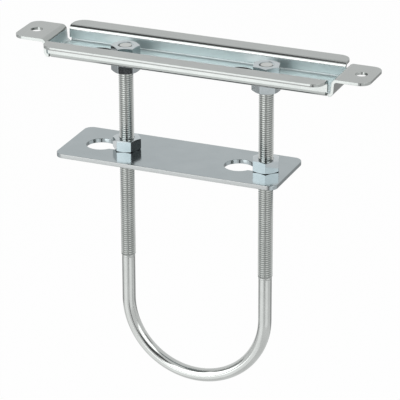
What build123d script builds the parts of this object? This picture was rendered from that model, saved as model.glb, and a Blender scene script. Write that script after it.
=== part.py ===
from build123d import *
import math
import os

# Hanging bracket for a radiator or its pipe. A pressed rail is screwed flat to a wall or
# ceiling by its two end tabs. A threaded U-bolt hangs from the rail on pairs of nuts, and a
# clamp plate with a nut on each leg closes the U from above.
#
# Frame: the origin lies midway between the two screw holes, in the plane that meets the
# wall. X runs along the rail, Z points into the wall and the U hangs down. All sizes are mm.

# Rail: one strip of sheet, pressed to a channel with a flange turned out along each side
rail_sheet = 2.0
rail_depth = 12.2
rail_bend = 1.5
channel_width = 36.0
flange_span = 60.0
flange_corner = 8.0
flange_past_keyhole = 19.5

# End tabs: the floor of the channel steps up at each end, back into the plane of the flanges
tab_length = 26.5
tab_width = 33.0
tab_corner = 7.0
step_angle = 85.0
relief_gap = 1.5
screw_hole = 8.0
screw_from_end = 10.0

# U-bolt: M10 thread rolled on a thinner rod, so the plain bend is slimmer than the thread
thread_diameter = 10.0
rod_diameter = 9.03
leg_spacing = 100.0
leg_length = 182.5
thread_length = 150.0
tip_chamfer = 1.0
thread_runout = 1.2

# Nuts: plain hexagon nuts, all alike
nut_sides = 6
nut_flats = 17.0
nut_height = 8.0
nut_clearance = 0.05
nut_chamfer_angle = 20.0
nut_face = 16.2
tip_recess = 0.3

# Keyholes: a nut passes through the round end, and the narrow end then grips the leg
entry_hole = 20.0
entry_offset = 19.0
slot_clearance = 0.5

# Clamp plate: flat, longer on the side to which it is pushed to release it
plate_width = 54.0
plate_sheet = 3.0
plate_corner = 6.0
plate_past_keyhole = 12.5
plate_past_leg = 16.5
plate_drop = 75.6

# Angle from +X to a corner of each nut, left and right, as the spanner left it, in degrees
trough_nut_turns = (22.0, 47.0)
lower_nut_turns = (22.5, 25.5)
clamp_nut_turns = (9.5, 49.6)

# A corner of a drawn outline is picked for its fillet when it lies this near to its place
pick_reach = 0.1

# Levels and places that follow from the sizes above
floor_top = rail_sheet - rail_depth
floor_under = -rail_depth
trough_nut_top = floor_top + nut_height
leg_tip = trough_nut_top - tip_recess
bend_centre = leg_tip - leg_length
thread_end = leg_tip - thread_length
leg_places = (-leg_spacing / 2, leg_spacing / 2)
slot_width = thread_diameter + 2 * slot_clearance
outer_bend = rail_bend + rail_sheet
keyhole_end = leg_spacing / 2 + entry_offset + entry_hole / 2
flange_length = 2 * (keyhole_end + flange_past_keyhole)
rail_length = flange_length + 2 * tab_length
screw_spacing = rail_length - 2 * screw_from_end
plate_right = leg_spacing / 2 + plate_past_leg
plate_length = keyhole_end + plate_past_keyhole + plate_right
plate_centre = plate_right - plate_length / 2

os.makedirs("parts", exist_ok=True)


def keyhole():
    """Round entry joined to the narrow end, whose arc is centred on the leg at the origin."""
    with BuildSketch() as outline:
        with Locations((-entry_offset, 0)):
            Circle(entry_hole / 2)
        with Locations((-entry_offset / 2, 0)):
            SlotCenterToCenter(entry_offset, slot_width)
    return outline.sketch


def channel():
    """Channel with its two flanges, all at the same length, before the tabs are added."""
    wall_in = channel_width / 2 - rail_sheet
    wall_out = channel_width / 2
    edge = flange_span / 2
    outline = [
        (edge, 0),
        (wall_in, 0),
        (wall_in, floor_top),
        (-wall_in, floor_top),
        (-wall_in, 0),
        (-edge, 0),
        (-edge, -rail_sheet),
        (-wall_out, -rail_sheet),
        (-wall_out, floor_under),
        (wall_out, floor_under),
        (wall_out, -rail_sheet),
        (edge, -rail_sheet),
    ]
    with BuildSketch(Plane.YZ) as section:
        with BuildLine():
            Polyline(*outline, close=True)
        make_face()
        corners = section.vertices()
        outer = [v for v in corners if is_at(v, wall_in, 0) or is_at(v, wall_out, floor_under)]
        fillet(outer, outer_bend)
        corners = section.vertices()
        inner = [v for v in corners if is_at(v, wall_in, floor_top) or is_at(v, wall_out, -rail_sheet)]
        fillet(inner, rail_bend)
    body = extrude(section.sketch, flange_length / 2, both=True)
    with BuildSketch() as plan:
        RectangleRounded(flange_length, flange_span, flange_corner)
    blank = extrude(plan.sketch, -rail_depth)
    return body & blank


def is_at(corner, across, height):
    """True for a corner of an upright section at plus or minus across, at this height."""
    return abs(abs(corner.X) - across) < pick_reach and abs(corner.Y - height) < pick_reach


def end_tab():
    """Step and tab at the +X end, as wide as the tab, from where the flanges stop."""
    turn = math.radians(step_angle)
    shift = rail_sheet * math.tan(turn / 2)
    step_start = flange_length / 2
    low = step_start + rail_bend * math.tan(turn / 2)
    high = low + (rail_depth - rail_sheet) / math.tan(turn)
    end = rail_length / 2
    inside = step_start - rail_sheet
    with BuildSketch(Plane.XZ) as section:
        with BuildLine():
            Polyline(
                (inside, floor_top),
                (low, floor_top),
                (high, 0),
                (end, 0),
                (end, -rail_sheet),
                (high + shift, -rail_sheet),
                (low + shift, floor_under),
                (inside, floor_under),
                close=True,
            )
        make_face()
        bends = [(low, floor_top, rail_bend), (high, 0, outer_bend)]
        bends += [(high + shift, -rail_sheet, rail_bend), (low + shift, floor_under, outer_bend)]
        for x, z, radius in bends:
            fillet([v for v in section.vertices() if is_at(v, x, z)], radius)
    step = extrude(section.sketch, tab_width / 2, both=True)
    with BuildSketch() as plan:
        with Locations(((step_start + end) / 2, 0)):
            Rectangle(end - step_start, tab_width)
        fillet(plan.vertices().sort_by(Axis.X)[-2:], tab_corner)
        with Locations((screw_spacing / 2, 0)):
            Circle(screw_hole / 2, mode=Mode.SUBTRACT)
    return step & extrude(plan.sketch, -rail_depth)


def relief_notches():
    """Small cuts that free the side bends from the end step, at the four inner corners."""
    bend_start = channel_width / 2 - outer_bend
    reach = channel_width / 2 - bend_start + relief_gap
    places = [
        (side * (flange_length / 2 - relief_gap / 2), hand * (bend_start + reach / 2))
        for side in (-1, 1)
        for hand in (-1, 1)
    ]
    with BuildSketch(Plane.XY.offset(floor_top + rail_bend)) as plan:
        with Locations(*places):
            Rectangle(relief_gap, reach)
    return extrude(plan.sketch, -rail_depth)


def wall_rail():
    body = channel() - relief_notches()
    tab = end_tab()
    body = body + tab + mirror(tab, about=Plane.YZ)
    slots = extrude(keyhole(), rail_depth + rail_sheet)
    for x in leg_places:
        body -= Pos(x, 0, floor_under - rail_sheet) * slots
    return body


def u_bolt():
    """Threaded legs at their outside diameter, and the plain rod that joins them."""
    path_left = Line((-leg_spacing / 2, 0, thread_end), (-leg_spacing / 2, 0, bend_centre))
    path_bend = ThreePointArc(
        (-leg_spacing / 2, 0, bend_centre),
        (0, 0, bend_centre - leg_spacing / 2),
        (leg_spacing / 2, 0, bend_centre),
    )
    path_right = Line((leg_spacing / 2, 0, bend_centre), (leg_spacing / 2, 0, thread_end))
    path = Wire([path_left, path_bend, path_right])
    rod_section = Plane((-leg_spacing / 2, 0, thread_end)) * Circle(rod_diameter / 2)
    body = sweep(rod_section, path=path)
    with BuildSketch(Plane.XZ) as half:
        with BuildLine():
            Polyline(
                (0, thread_end - thread_runout),
                (rod_diameter / 2, thread_end - thread_runout),
                (thread_diameter / 2, thread_end),
                (thread_diameter / 2, leg_tip - tip_chamfer),
                (thread_diameter / 2 - tip_chamfer, leg_tip),
                (0, leg_tip),
                close=True,
            )
        make_face()
    leg = revolve(half.sketch, Axis.Z)
    for x in leg_places:
        body += Pos(x, 0, 0) * leg
    return body


def hexagon_nut():
    """Nut with its seat at z 0 and a corner on +X: the corners are turned off at both ends."""
    across_corners = nut_flats / math.cos(math.pi / nut_sides)
    fall = (across_corners - nut_face) / 2 * math.tan(math.radians(nut_chamfer_angle))
    bore = thread_diameter / 2 + nut_clearance
    with BuildSketch(Plane.XZ) as half:
        with BuildLine():
            Polyline(
                (bore, 0),
                (nut_face / 2, 0),
                (across_corners / 2, fall),
                (across_corners / 2, nut_height - fall),
                (nut_face / 2, nut_height),
                (bore, nut_height),
                close=True,
            )
        make_face()
    with BuildSketch() as plan:
        RegularPolygon(nut_flats / 2, nut_sides, major_radius=False)
    return revolve(half.sketch, Axis.Z) & extrude(plan.sketch, nut_height)


def clamp_plate():
    with BuildSketch() as plan:
        with Locations((plate_centre, 0)):
            RectangleRounded(plate_length, plate_width, plate_corner)
        with Locations(*[(x, 0) for x in leg_places]):
            add(keyhole(), mode=Mode.SUBTRACT)
    return Pos(0, 0, -plate_drop) * extrude(plan.sketch, -plate_sheet)


nut = hexagon_nut()
pieces = {
    "wall_rail": wall_rail(),
    "u_bolt": u_bolt(),
    "clamp_plate": clamp_plate(),
}
for index, hand in enumerate(("left", "right")):
    place = leg_places[index]
    pieces[f"trough_nut_{hand}"] = Pos(place, 0, floor_top) * Rot(0, 0, trough_nut_turns[index]) * nut
    under = floor_under - nut_height
    pieces[f"lower_nut_{hand}"] = Pos(place, 0, under) * Rot(0, 0, lower_nut_turns[index]) * nut
    pieces[f"clamp_nut_{hand}"] = Pos(place, 0, -plate_drop) * Rot(0, 0, clamp_nut_turns[index]) * nut

for name, shape in pieces.items():
    export_step(shape, f"parts/{name}.step")
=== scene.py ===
import math

import bmesh
import bpy
from mathutils import Matrix, Vector


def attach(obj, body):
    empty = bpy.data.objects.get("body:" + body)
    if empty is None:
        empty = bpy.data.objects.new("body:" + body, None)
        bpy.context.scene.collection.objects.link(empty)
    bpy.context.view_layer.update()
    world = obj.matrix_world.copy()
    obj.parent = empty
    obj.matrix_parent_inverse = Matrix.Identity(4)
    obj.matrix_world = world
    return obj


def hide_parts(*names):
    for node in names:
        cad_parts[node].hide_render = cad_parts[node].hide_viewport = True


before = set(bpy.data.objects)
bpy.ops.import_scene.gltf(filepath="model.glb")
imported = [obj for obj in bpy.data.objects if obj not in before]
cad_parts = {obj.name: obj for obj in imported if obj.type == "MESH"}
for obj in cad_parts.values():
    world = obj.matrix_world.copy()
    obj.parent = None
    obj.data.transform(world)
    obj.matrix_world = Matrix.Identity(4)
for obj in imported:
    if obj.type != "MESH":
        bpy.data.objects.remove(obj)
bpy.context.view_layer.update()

MM = 0.001


# Wall rail: one strip of 2 mm steel sheet, blanked, pierced and pressed to a flanged channel
# with a stepped tab at each end. Zinc plated after pressing, and screwed to the wall through
# the tabs. The blanking dies leave its edges slightly rounded.
rail_edge_round = 0.3 * MM
sheet_rounding_steps = 3
crease_angle = math.radians(40)
flat_tolerance = math.radians(0.5)
weld_distance = 0.001 * MM
patch_contrast = (0.32, 0.68)
grain_share = 0.5
grain_depth = 0.02 * MM


def pressed_copy(node, name, edge_round):
    """Welded copy of a CAD sheet, its triangles joined to whole faces and its edges rounded."""
    bm = bmesh.new()
    bm.from_mesh(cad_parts[node].data)
    bmesh.ops.remove_doubles(bm, verts=bm.verts, dist=weld_distance)
    bmesh.ops.dissolve_limit(bm, angle_limit=flat_tolerance, verts=bm.verts, edges=bm.edges)
    sharp = [e for e in bm.edges if e.is_manifold and e.calc_face_angle() > crease_angle]
    round_edges(bm, sharp, edge_round, sheet_rounding_steps)
    bmesh.ops.recalc_face_normals(bm, faces=bm.faces)
    return finished_piece(bm, name)


def round_edges(bm, edges, width, steps):
    """Rounding of edges that takes this width off each face beside them."""
    bmesh.ops.bevel(
        bm,
        geom=edges,
        offset=width,
        offset_type="OFFSET",
        segments=steps,
        profile=0.5,
        affect="EDGES",
        material=-1,
        clamp_overlap=True,
    )


def finished_piece(bm, name):
    """Object at the origin from a bmesh, smooth except across its creases."""
    mesh = bpy.data.meshes.new(name)
    bm.to_mesh(mesh)
    bm.free()
    mesh.shade_smooth()
    mesh.set_sharp_from_angle(angle=crease_angle)
    piece = bpy.data.objects.new(name, mesh)
    bpy.context.scene.collection.objects.link(piece)
    flats = piece.modifiers.new("flat faces keep their normals", "WEIGHTED_NORMAL")
    flats.keep_sharp = True
    return piece


def feed(tree, socket, value):
    """Link into a socket, or a constant set on it."""
    if hasattr(value, "links"):
        tree.links.new(value, socket)
    else:
        socket.default_value = value


def maths(tree, operation, first, second=0.0):
    """One maths node, fed by a link or a number on each side. Returns its output."""
    step = tree.nodes.new("ShaderNodeMath")
    step.operation = operation
    feed(tree, step.inputs[0], first)
    feed(tree, step.inputs[1], second)
    return step.outputs[0]


def mixed(tree, kind, factor, under, over):
    """One mix of two colours (RGBA) or two numbers (FLOAT). Returns its output."""
    mix = tree.nodes.new("ShaderNodeMix")
    mix.data_type = kind
    for socket, value in zip([s for s in mix.inputs if s.enabled], (factor, under, over)):
        feed(tree, socket, value)
    return [s for s in mix.outputs if s.enabled][0]


def zinc_film_group():
    """Node group for a zinc film: cloudy patches, fine grain, and the grain's light relief."""
    group = bpy.data.node_groups.new("zinc film", "ShaderNodeTree")
    inputs = (
        ("Place", "Vector"),
        ("Grain Place", "Vector"),
        ("Bright", "Color"),
        ("Dull", "Color"),
        ("Patches per Metre", "Float"),
        ("Smoothest", "Float"),
        ("Roughest", "Float"),
        ("Relief", "Float"),
    )
    outputs = (("Color", "Color"), ("Roughness", "Float"), ("Normal", "Vector"))
    for way, sockets in (("INPUT", inputs), ("OUTPUT", outputs)):
        for name, kind in sockets:
            group.interface.new_socket(name, in_out=way, socket_type=f"NodeSocket{kind}")
    nodes, links = group.nodes, group.links
    inside = nodes.new("NodeGroupInput")
    outside = nodes.new("NodeGroupOutput")
    patches = nodes.new("ShaderNodeTexNoise")
    patches.inputs["Detail"].default_value = 4.0
    patches.inputs["Roughness"].default_value = 0.6
    links.new(inside.outputs["Place"], patches.inputs["Vector"])
    links.new(inside.outputs["Patches per Metre"], patches.inputs["Scale"])
    grain = nodes.new("ShaderNodeTexNoise")
    grain.inputs["Scale"].default_value = 1.0
    grain.inputs["Detail"].default_value = 3.0
    links.new(inside.outputs["Grain Place"], grain.inputs["Vector"])
    contrast = nodes.new("ShaderNodeMapRange")
    contrast.inputs["From Min"].default_value = patch_contrast[0]
    contrast.inputs["From Max"].default_value = patch_contrast[1]
    links.new(patches.outputs["Fac"], contrast.inputs["Value"])
    cloud = contrast.outputs["Result"]
    colour = mixed(group, "RGBA", cloud, inside.outputs["Bright"], inside.outputs["Dull"])
    from_cloud = maths(group, "MULTIPLY", cloud, 1 - grain_share)
    from_grain = maths(group, "MULTIPLY", grain.outputs["Fac"], grain_share)
    rough = nodes.new("ShaderNodeMapRange")
    links.new(maths(group, "ADD", from_cloud, from_grain), rough.inputs["Value"])
    links.new(inside.outputs["Smoothest"], rough.inputs["To Min"])
    links.new(inside.outputs["Roughest"], rough.inputs["To Max"])
    bump = nodes.new("ShaderNodeBump")
    bump.inputs["Distance"].default_value = grain_depth
    links.new(inside.outputs["Relief"], bump.inputs["Strength"])
    links.new(grain.outputs["Fac"], bump.inputs["Height"])
    links.new(colour, outside.inputs["Color"])
    links.new(rough.outputs["Result"], outside.inputs["Roughness"])
    links.new(bump.outputs["Normal"], outside.inputs["Normal"])
    return group


zinc_film = zinc_film_group()


def zinc_material(name, bright, dull, grain_scale, patches, smoothest, roughest, relief):
    """Plated steel: the film group in Object coordinates, on a shader that is all metal."""
    material = bpy.data.materials.new(name)
    material.use_nodes = True
    nodes, links = material.node_tree.nodes, material.node_tree.links
    shader = nodes["Principled BSDF"]
    shader.inputs["Metallic"].default_value = 1.0
    place = nodes.new("ShaderNodeTexCoord")
    grain_place = nodes.new("ShaderNodeMapping")
    grain_place.inputs["Scale"].default_value = grain_scale
    film = nodes.new("ShaderNodeGroup")
    film.node_tree = zinc_film
    film.inputs["Bright"].default_value = (*bright, 1.0)
    film.inputs["Dull"].default_value = (*dull, 1.0)
    film.inputs["Patches per Metre"].default_value = patches
    film.inputs["Smoothest"].default_value = smoothest
    film.inputs["Roughest"].default_value = roughest
    film.inputs["Relief"].default_value = relief
    links.new(place.outputs["Object"], film.inputs["Place"])
    links.new(place.outputs["Object"], grain_place.inputs["Vector"])
    links.new(grain_place.outputs["Vector"], film.inputs["Grain Place"])
    links.new(film.outputs["Color"], shader.inputs["Base Color"])
    links.new(film.outputs["Roughness"], shader.inputs["Roughness"])
    links.new(film.outputs["Normal"], shader.inputs["Normal"])
    return material


def within(tree, limits):
    """Mask of the places between limits in mm. The one on Y is how far out at either side."""
    place = tree.nodes.new("ShaderNodeTexCoord")
    split = tree.nodes.new("ShaderNodeSeparateXYZ")
    tree.links.new(place.outputs["Object"], split.inputs[0])
    mask = 1.0
    for axis, (low, high) in limits.items():
        value = split.outputs[axis]
        if axis == "Y":
            value = maths(tree, "ABSOLUTE", value)
        mask = maths(tree, "MULTIPLY", mask, maths(tree, "GREATER_THAN", value, low * MM))
        mask = maths(tree, "MULTIPLY", mask, maths(tree, "LESS_THAN", value, high * MM))
    return mask


def paint_over(material, limits, colour, roughness):
    """Another colour and roughness of the same metal on the places within the limits."""
    tree = material.node_tree
    mask = within(tree, limits)
    shader = tree.nodes["Principled BSDF"]
    over = {"Base Color": ("RGBA", (*colour, 1)), "Roughness": ("FLOAT", roughness)}
    for name, (kind, value) in over.items():
        under = shader.inputs[name].links[0].from_socket
        tree.links.new(mixed(tree, kind, mask, under, value), shader.inputs[name])


rail_zinc = zinc_material(
    "zinc on pressed sheet",
    bright=(0.375, 0.395, 0.385),
    dull=(0.345, 0.363, 0.355),
    grain_scale=(25, 2200, 2200),
    patches=35.0,
    smoothest=0.13,
    roughest=0.20,
    relief=0.04,
)

# The trough keeps more of the plating bath's tint, and the flange's sheared edges have a dark torn
# half.
# A low limit of -1 on Y leaves out nothing.
# The tint's upper limit reaches into the foot of the flange bends, where the lighter tint paints
# over their dark reflection: painted light
trough = {"X": (-101.2, 101.2), "Y": (-1, 16.3), "Z": (-10.4, -3.0)}
# The tint is painted darker in the trough's bottom corners: painted shade in the creases
trough_corner_shade = {"X": (-98, 98), "Y": (14.6, 16.2), "Z": (-10.15, -8.75)}
# The keyhole walls are torn sheared edges, rougher, and painted almost black: painted shade inside
# the holes
torn_and_shaded_keyholes = {"X": (-85, 85), "Y": (-1, 12), "Z": (-12.0, -10.4)}
torn_flange_edges = {"Y": (29.7, 31), "Z": (-1.9, -1.2)}
paint_over(rail_zinc, trough, colour=(0.545, 0.612, 0.617), roughness=0.42)
paint_over(rail_zinc, trough_corner_shade, colour=(0.42, 0.475, 0.48), roughness=0.5)
paint_over(rail_zinc, torn_and_shaded_keyholes, colour=(0.04, 0.04, 0.04), roughness=0.6)
paint_over(rail_zinc, torn_flange_edges, colour=(0.27, 0.275, 0.27), roughness=0.45)

rail = pressed_copy("wall_rail", "pressed_rail", rail_edge_round)
rail.data.materials.clear()
rail.data.materials.append(rail_zinc)
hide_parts("wall_rail")
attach(rail, "frame")


# U-bolt: one length of 9 mm steel rod. M10 thread is rolled on both legs, which raises it
# past the rod, then the rod is bent round a 91 mm former and zinc plated. Its legs hang in
# the rail's keyholes between two nuts each.
thread_pitch = 1.5 * MM
thread_crest = 5.0 * MM
thread_root = 4.08 * MM
thread_crest_flat = thread_pitch / 8
thread_flank_angle = math.radians(30)
thread_steps = 36
thread_weld = 0.03 * MM
rod_radius = 4.515 * MM
rod_sides = 64
bend_steps = 72
leg_x = (-50.0 * MM, 50.0 * MM)
leg_tip = -2.5 * MM
tip_chamfer = 1.0 * MM
thread_end = -152.5 * MM
thread_fade = 1.2 * MM
bend_level = -185.0 * MM
bridge_gap = 0.3 * MM
rim_tolerance = 0.02 * MM
leg_reach = 12 * MM


def roll_thread(bm, x, bottom, top, crest, root):
    """Screw surface round an upright axis at x, open at both levels. Its turns count from z 0."""
    flank = (crest - root) * math.tan(thread_flank_angle)
    root_flat = thread_pitch - thread_crest_flat - 2 * flank
    start = (math.floor(bottom / thread_pitch) - 1) * thread_pitch
    turns_needed = math.ceil((top - start) / thread_pitch) + 1
    heights = (0, root_flat, root_flat + flank, root_flat + flank + thread_crest_flat, thread_pitch)
    radii = (root, root, crest, crest, root)
    verts = [bm.verts.new((x + r, 0, start + h)) for r, h in zip(radii, heights)]
    edges = [bm.edges.new(pair) for pair in zip(verts, verts[1:])]
    made = set(bm.verts) - set(verts)
    bmesh.ops.spin(
        bm,
        geom=verts + edges,
        cent=(x, 0, 0),
        axis=(0, 0, 1),
        dvec=(0, 0, thread_pitch / thread_steps),
        angle=2 * math.pi,
        steps=thread_steps,
        use_merge=False,
        use_duplicate=False,
    )
    turns = 1
    while turns < turns_needed:
        more = bmesh.ops.duplicate(bm, geom=made_since(bm, made))["geom"]
        more = [g for g in more if isinstance(g, bmesh.types.BMVert)]
        bmesh.ops.translate(bm, vec=(0, 0, turns * thread_pitch), verts=more)
        turns *= 2
    new = [g for g in made_since(bm, made) if isinstance(g, bmesh.types.BMVert)]
    bmesh.ops.remove_doubles(bm, verts=new, dist=thread_weld)
    for level, up in ((bottom, -1), (top, 1)):
        bmesh.ops.bisect_plane(
            bm,
            geom=made_since(bm, made),
            dist=weld_distance,
            plane_co=(x, 0, level),
            plane_no=(0, 0, up),
            clear_outer=True,
        )
    return [g for g in made_since(bm, made) if isinstance(g, bmesh.types.BMVert)]


def made_since(bm, made):
    """Everything in the mesh that doesn't belong to the vertices that were there before."""
    verts = [v for v in bm.verts if v not in made]
    edges = [e for e in bm.edges if e.verts[0] not in made]
    return verts + edges + [f for f in bm.faces if f.verts[0] not in made]


def rim(bm, x, level):
    """Open edges at a level, round the axis at x."""
    found = []
    for edge in [e for e in bm.edges if e.is_boundary]:
        middle = (edge.verts[0].co + edge.verts[1].co) / 2
        if abs(middle.z - level) < rim_tolerance and abs(middle.x - x) < leg_reach:
            found.append(edge)
    return found


def u_bolt_mesh():
    """Threaded legs that fade into the rod, closed at their tips and joined by the bend."""
    bm = bmesh.new()
    rod_top = thread_end - thread_fade
    for x in leg_x:
        for vert in roll_thread(bm, x, rod_top, leg_tip, thread_crest, thread_root):
            out = Vector((vert.co.x - x, vert.co.y))
            radius = out.length
            share = min(max((vert.co.z - rod_top) / thread_fade, 0), 1)
            radius = rod_radius + (radius - rod_radius) * share
            radius = min(radius, thread_crest - tip_chamfer + max(leg_tip - vert.co.z, 0))
            out.length = radius
            vert.co.x, vert.co.y = x + out.x, out.y
        bmesh.ops.edgeloop_fill(bm, edges=rim(bm, x, leg_tip))
    start = Matrix.Translation((leg_x[0], 0, rod_top - bridge_gap))
    ring = bmesh.ops.create_circle(bm, segments=rod_sides, radius=rod_radius, matrix=start)
    edges = list({e for v in ring["verts"] for e in v.link_edges})
    edges = carry_on(bm, edges, (0, 0, bend_level - rod_top + bridge_gap))
    bent = bmesh.ops.spin(
        bm,
        geom=edges + list({v for e in edges for v in e.verts}),
        cent=(0, 0, bend_level),
        axis=(0, 1, 0),
        dvec=(0, 0, 0),
        angle=-math.pi,
        steps=bend_steps,
        use_merge=False,
        use_duplicate=False,
    )
    edges = [g for g in bent["geom_last"] if isinstance(g, bmesh.types.BMEdge)]
    carry_on(bm, edges, (0, 0, rod_top - bridge_gap - bend_level))
    for x in leg_x:
        bmesh.ops.bridge_loops(bm, edges=rim(bm, x, rod_top) + rim(bm, x, rod_top - bridge_gap))
    bmesh.ops.recalc_face_normals(bm, faces=bm.faces)
    return bm


def carry_on(bm, edges, step):
    """Straight run of rod from a ring of edges. Returns the ring at its end."""
    run = bmesh.ops.extrude_edge_only(bm, edges=edges)["geom"]
    verts = [g for g in run if isinstance(g, bmesh.types.BMVert)]
    bmesh.ops.translate(bm, vec=step, verts=verts)
    return [g for g in run if isinstance(g, bmesh.types.BMEdge)]


rod_zinc = zinc_material(
    "zinc on rolled rod",
    bright=(0.495, 0.512, 0.50),
    dull=(0.45, 0.466, 0.455),
    grain_scale=(1500, 1500, 1500),
    patches=60.0,
    smoothest=0.10,
    roughest=0.18,
    relief=0.05,
)

# The film is rougher where the thread runs out, and painted darker there as painted shade that
# damps the soft box's glint on the run-out cone
dimmed_thread_ends = {"Z": (-154.4, -151.9)}
# The chamfered rims of the tips are painted dark: painted shade for the gap between each tip and
# its nut's mouth
shaded_tip_rims = {"Z": (-3.6, -2.52)}
paint_over(rod_zinc, dimmed_thread_ends, colour=(0.40, 0.415, 0.405), roughness=0.5)
paint_over(rod_zinc, shaded_tip_rims, colour=(0.10, 0.105, 0.10), roughness=0.5)

bolt = finished_piece(u_bolt_mesh(), "bent_u_bolt")
bolt.data.materials.append(rod_zinc)
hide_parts("u_bolt")
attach(bolt, "frame")


# Six plain M10 hexagon nuts, cold forged, tapped and zinc plated. Two on each leg grip the
# rail's floor from above and below, and one on each leg stands on the clamp plate.
nut_sides = 6
nut_flats = 17.0 * MM
nut_height = 8.0 * MM
nut_face = 16.2 * MM
nut_chamfer_angle = math.radians(20)
nut_mouth = 5.4 * MM
nut_edge_round = 0.12 * MM
nut_rounding_steps = 2
nut_edge_angle = math.radians(50)
thread_play = 0.12 * MM
bore_gap = 0.05 * MM
nut_steps = 96
cut_tolerance = 0.0001 * MM
flat_reach = 0.002 * MM
nut_places = {
    "trough_nut": (-10.2 * MM, (22.0, 47.0), ("frame", "frame")),
    "lower_nut": (-20.2 * MM, (22.5, 25.5), ("frame", "frame")),
    "clamp_nut": (-75.6 * MM, (9.5, 49.6), ("left_nut", "right_nut")),
}


def nut_mesh(x, seat, turn):
    """Forged hexagon with turned ends, then the tapped bore that runs on the leg's thread."""
    bm = bmesh.new()
    corner = nut_flats / 2 / math.cos(math.pi / nut_sides)
    fall = (corner - nut_face / 2) * math.tan(nut_chamfer_angle)
    bore = thread_crest + thread_play
    mouth_fall = nut_mouth - bore
    outline = [
        (bore, mouth_fall),
        (nut_mouth, 0),
        (nut_face / 2, 0),
        (corner, fall),
        (corner, nut_height - fall),
        (nut_face / 2, nut_height),
        (nut_mouth, nut_height),
        (bore, nut_height - mouth_fall),
    ]
    verts = [bm.verts.new((r, 0, z)) for r, z in outline]
    edges = [bm.edges.new(pair) for pair in zip(verts, verts[1:])]
    bmesh.ops.spin(
        bm,
        geom=verts + edges,
        cent=(0, 0, 0),
        axis=(0, 0, 1),
        dvec=(0, 0, 0),
        angle=2 * math.pi,
        steps=nut_steps,
        use_merge=True,
        use_duplicate=False,
    )
    for side in range(nut_sides):
        angle = math.pi / nut_sides * (2 * side + 1)
        flat = Vector((math.cos(angle), math.sin(angle), 0))
        bmesh.ops.bisect_plane(
            bm,
            geom=list(bm.verts) + list(bm.edges) + list(bm.faces),
            dist=cut_tolerance,
            plane_co=flat * nut_flats / 2,
            plane_no=flat,
            clear_outer=True,
        )
        cut = [e for e in bm.edges if e.is_boundary and on_flat(e, flat)]
        bmesh.ops.edgeloop_fill(bm, edges=cut)
    bmesh.ops.dissolve_limit(bm, angle_limit=flat_tolerance, verts=bm.verts, edges=bm.edges)
    upright = [
        e
        for e in bm.edges
        if e.is_manifold
        and e.calc_face_angle() > nut_edge_angle
        and abs(e.verts[0].co.z - e.verts[1].co.z) > nut_height / 2
    ]
    round_edges(bm, upright, nut_edge_round, nut_rounding_steps)
    bmesh.ops.rotate(bm, cent=(0, 0, 0), matrix=Matrix.Rotation(turn, 3, "Z"), verts=bm.verts)
    bmesh.ops.translate(bm, vec=(x, 0, seat), verts=bm.verts)
    low, high = seat + mouth_fall, seat + nut_height - mouth_fall
    crest, root = thread_crest + thread_play, thread_root + thread_play
    roll_thread(bm, x, low + bore_gap, high - bore_gap, crest, root)
    for mouth, thread in ((low, low + bore_gap), (high, high - bore_gap)):
        bmesh.ops.bridge_loops(bm, edges=rim(bm, x, mouth) + rim(bm, x, thread))
    bmesh.ops.recalc_face_normals(bm, faces=bm.faces)
    return bm


def on_flat(edge, flat):
    """True for an edge that lies in the plane of one flat of the hexagon."""
    return all(abs(v.co.dot(flat) - nut_flats / 2) < flat_reach for v in edge.verts)


nut_zinc = zinc_material(
    "zinc on forged nut",
    bright=(0.48, 0.52, 0.535),
    dull=(0.42, 0.465, 0.48),
    grain_scale=(900, 900, 900),
    patches=120.0,
    smoothest=0.08,
    roughest=0.15,
    relief=0.06,
)

for kind, (seat, turns, bodies) in nut_places.items():
    for x, turn, body, hand in zip(leg_x, turns, bodies, ("left", "right")):
        nut = finished_piece(nut_mesh(x, seat, math.radians(turn)), f"{kind}_{hand}_tapped")
        nut.data.materials.append(nut_zinc)
        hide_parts(f"{kind}_{hand}")
        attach(nut, body)


# Clamp plate: 3 mm flat steel, cut off square with rounded corners and pierced with two
# keyholes, then zinc plated to a bluer and smoother finish than the rail. It slides on the
# legs, and the clamp nuts stand on it.
plate_edge_round = 0.35 * MM

plate_zinc = zinc_material(
    "zinc on flat plate",
    bright=(0.34, 0.382, 0.395),
    dull=(0.31, 0.352, 0.365),
    grain_scale=(40, 900, 900),
    patches=45.0,
    smoothest=0.09,
    roughest=0.17,
    relief=0.05,
)

# The long cut sides are greyer and rougher than the rolled faces
cut_sides = {"Y": (26.7, 28), "Z": (-79, -75)}
paint_over(plate_zinc, cut_sides, colour=(0.33, 0.345, 0.345), roughness=0.3)

plate = pressed_copy("clamp_plate", "pierced_plate", plate_edge_round)
plate.data.materials.clear()
plate.data.materials.append(plate_zinc)
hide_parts("clamp_plate")
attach(plate, "clamp")


# Studio: a white floor far below the hanging bracket, in a white room. A soft box stands on
# each side, and lit and grey cards lie on the floor. Black cloths hang round the camera, on
# the left and overhead, and draw the dark lines along the metal's bends.
floor_level = -0.70
floor_half = 4.0
floor_white = 0.9
floor_glow_share = 0.97
room_light = 0.6
# Name, azimuth, elevation, distance, width, height, and grey level, where white is 1
upright_cards = (
    ("black cloth round the camera", -71, 17, 1.20, 0.66, 1.00, 0.12),
    ("camera stand", -71.5, -14, 1.45, 0.22, 0.60, 0.06),
    ("black cloth on the left", -169, 18, 1.20, 0.50, 0.95, 0.36),
    ("black cloth overhead", -168, 62, 1.20, 0.90, 0.66, 0.12),
    ("black stand on the right", 26, 23, 1.20, 0.34, 0.36, 0.12),
    ("lit strip at the foot of the left soft box", -113, -20, 1.55, 0.80, 0.26, 2.5),
)
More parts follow.
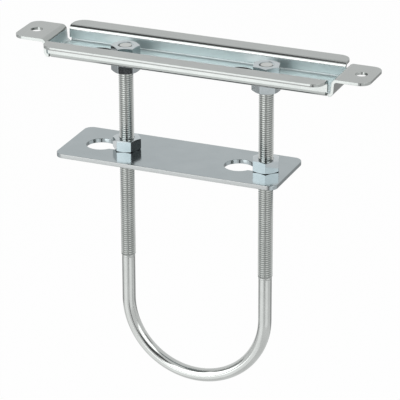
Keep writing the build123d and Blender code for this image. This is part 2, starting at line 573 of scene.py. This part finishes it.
# Name, azimuth, distance, length, width, lift above the floor, and grey level
floor_cards = (
    ("lit card on the left", -128, 1.05, 1.50, 1.00, 0.010, 1.40),
    ("lit card on the right", -38, 1.40, 1.00, 0.75, 0.010, 1.34),
    ("grey floor behind on the right", 78, 1.45, 1.40, 1.70, 0.010, 0.50),
    ("grey floor behind on the left", 168, 1.60, 1.20, 0.80, 0.010, 0.50),
    ("foot of the camera stand", -71.5, 1.60, 0.90, 0.22, 0.020, 0.06),
)


def white_to_view(tree, lit, white):
    """Mix of lit and white, and the mask of the rays that see the white: camera, metal, glass."""
    path = tree.nodes.new("ShaderNodeLightPath")
    seen = maths(tree, "MAXIMUM", path.outputs["Is Camera Ray"], path.outputs["Is Glossy Ray"])
    seen = maths(tree, "MAXIMUM", seen, path.outputs["Is Transmission Ray"])
    mix = tree.nodes.new("ShaderNodeMixShader")
    tree.links.new(lit, mix.inputs[1])
    tree.links.new(white, mix.inputs[2])
    return mix, seen


def stage_piece(bm, name, material):
    """Piece of the studio from a bmesh, which is no part of the bracket."""
    mesh = bpy.data.meshes.new(name)
    bm.to_mesh(mesh)
    bm.free()
    mesh.materials.append(material)
    piece = bpy.data.objects.new(name, mesh)
    bpy.context.scene.collection.objects.link(piece)
    return piece


def studio_floor():
    """Matt white floor that looks white to the camera and keeps a little of its shadow."""
    bm = bmesh.new()
    bmesh.ops.create_grid(bm, x_segments=1, y_segments=1, size=floor_half)
    bmesh.ops.translate(bm, vec=(0, 0, floor_level), verts=bm.verts)
    material = bpy.data.materials.new("white floor")
    material.use_nodes = True
    tree = material.node_tree
    shader = tree.nodes["Principled BSDF"]
    shader.inputs["Base Color"].default_value = (floor_white, floor_white, floor_white, 1)
    shader.inputs["Roughness"].default_value = 0.9
    shader.inputs["Specular IOR Level"].default_value = 0.0
    glow = tree.nodes.new("ShaderNodeEmission")
    mix, seen = white_to_view(tree, shader.outputs[0], glow.outputs[0])
    tree.links.new(maths(tree, "MULTIPLY", seen, floor_glow_share), mix.inputs[0])
    # From below the floor is clear, so that the bracket can be looked at from there too
    side = tree.nodes.new("ShaderNodeNewGeometry")
    clear = tree.nodes.new("ShaderNodeBsdfTransparent")
    either = tree.nodes.new("ShaderNodeMixShader")
    tree.links.new(side.outputs["Backfacing"], either.inputs[0])
    tree.links.new(mix.outputs[0], either.inputs[1])
    tree.links.new(clear.outputs[0], either.inputs[2])
    tree.links.new(either.outputs[0], tree.nodes["Material Output"].inputs["Surface"])
    stage_piece(bm, "studio_floor", material)


studio_floor()


def white_room():
    """World that lights the bracket with an even grey and looks white itself."""
    world = bpy.data.worlds.new("white room")
    bpy.context.scene.world = world
    world.use_nodes = True
    tree = world.node_tree
    lit = tree.nodes["Background"]
    lit.inputs["Color"].default_value = (room_light, room_light, room_light, 1)
    white = tree.nodes.new("ShaderNodeBackground")
    white.inputs["Color"].default_value = (1, 1, 1, 1)
    mix, seen = white_to_view(tree, lit.outputs[0], white.outputs[0])
    tree.links.new(seen, mix.inputs[0])
    tree.links.new(mix.outputs[0], tree.nodes["World Output"].inputs["Surface"])


white_room()


def direction(azimuth, elevation):
    """Unit vector towards a place. Azimuth 0 is the +X side and 90 the +Y side."""
    a, e = math.radians(azimuth), math.radians(elevation)
    return Vector((math.cos(a) * math.cos(e), math.sin(a) * math.cos(e), math.sin(e)))


def studio_card(name, place, width, height, grey):
    """Flat card or cloth of an even grey that only the metal's reflections show."""
    bm = bmesh.new()
    bmesh.ops.create_grid(bm, x_segments=1, y_segments=1, size=0.5)
    bmesh.ops.scale(bm, vec=(width, height, 1), verts=bm.verts)
    bmesh.ops.transform(bm, matrix=place, verts=bm.verts)
    material = bpy.data.materials.new(name)
    material.use_nodes = True
    tree = material.node_tree
    tree.nodes.remove(tree.nodes["Principled BSDF"])
    glow = tree.nodes.new("ShaderNodeEmission")
    glow.inputs["Color"].default_value = (1, 1, 1, 1)
    glow.inputs["Strength"].default_value = grey
    tree.links.new(glow.outputs[0], tree.nodes["Material Output"].inputs["Surface"])
    card = stage_piece(bm, name, material)
    card.visible_camera = False
    card.visible_diffuse = False
    card.visible_shadow = False


for name, azimuth, elevation, distance, width, height, grey in upright_cards:
    towards = direction(azimuth, elevation)
    facing = towards.to_track_quat("Z", "Y").to_matrix().to_4x4()
    studio_card(name, Matrix.Translation(towards * distance) @ facing, width, height, grey)
for name, azimuth, distance, length, width, lift, grey in floor_cards:
    place = direction(azimuth, 0) * distance + Vector((0, 0, floor_level + lift))
    turn = Matrix.Rotation(math.radians(azimuth), 4, "Z")
    studio_card(name, Matrix.Translation(place) @ turn, length, width, grey)


def soft_box(name, azimuth, elevation, distance, width, height, radiance):
    """Rectangular lamp aimed at the bracket, with its power set from how bright its face is."""
    lamp = bpy.data.lights.new(name, "AREA")
    lamp.shape = "RECTANGLE"
    lamp.size, lamp.size_y = width, height
    lamp.energy = radiance * width * height * math.pi
    held = bpy.data.objects.new(name, lamp)
    bpy.context.scene.collection.objects.link(held)
    towards = direction(azimuth, elevation)
    held.location = towards * distance
    held.rotation_mode = "QUATERNION"
    held.rotation_quaternion = towards.to_track_quat("Z", "Y")


soft_box(
    "left soft box",
    azimuth=-121,
    elevation=19.5,
    distance=1.3,
    width=1.40,
    height=1.25,
    radiance=2.3,
)
soft_box(
    "right soft box",
    azimuth=-22,
    elevation=24,
    distance=1.3,
    width=1.00,
    height=1.05,
    radiance=1.6,
)


# Camera: at the photograph's angle, 1.8 m from the bracket with a long lens, so that the
# rail's two ends look almost alike in size.
camera_azimuth = math.radians(22.81)
camera_elevation = math.radians(22.857)
camera_roll = math.radians(-0.182)
camera_distance = 1805.14 * MM
camera_target = Vector((2.965 * MM, 0, -105.054 * MM))
sensor_width = 36.0
photo_width = 400
focal_pixels = 2703.6

camera = bpy.data.cameras.new("camera")
camera.sensor_width = sensor_width
camera.lens = focal_pixels * sensor_width / photo_width
camera.clip_start, camera.clip_end = 0.1, 50
stand = bpy.data.objects.new("camera", camera)
bpy.context.scene.collection.objects.link(stand)
back = Vector((
    math.sin(camera_azimuth) * math.cos(camera_elevation),
    -math.cos(camera_azimuth) * math.cos(camera_elevation),
    math.sin(camera_elevation),
))
across = Vector((math.cos(camera_azimuth), math.sin(camera_azimuth), 0))
above = back.cross(across)
turned = Matrix.Rotation(camera_roll, 3, back)
axes = Matrix((turned @ across, turned @ above, back)).transposed()
stand.matrix_world = Matrix.Translation(camera_target + back * camera_distance) @ axes.to_4x4()
bpy.context.scene.camera = stand
bpy.context.scene.view_settings.view_transform = "Standard"
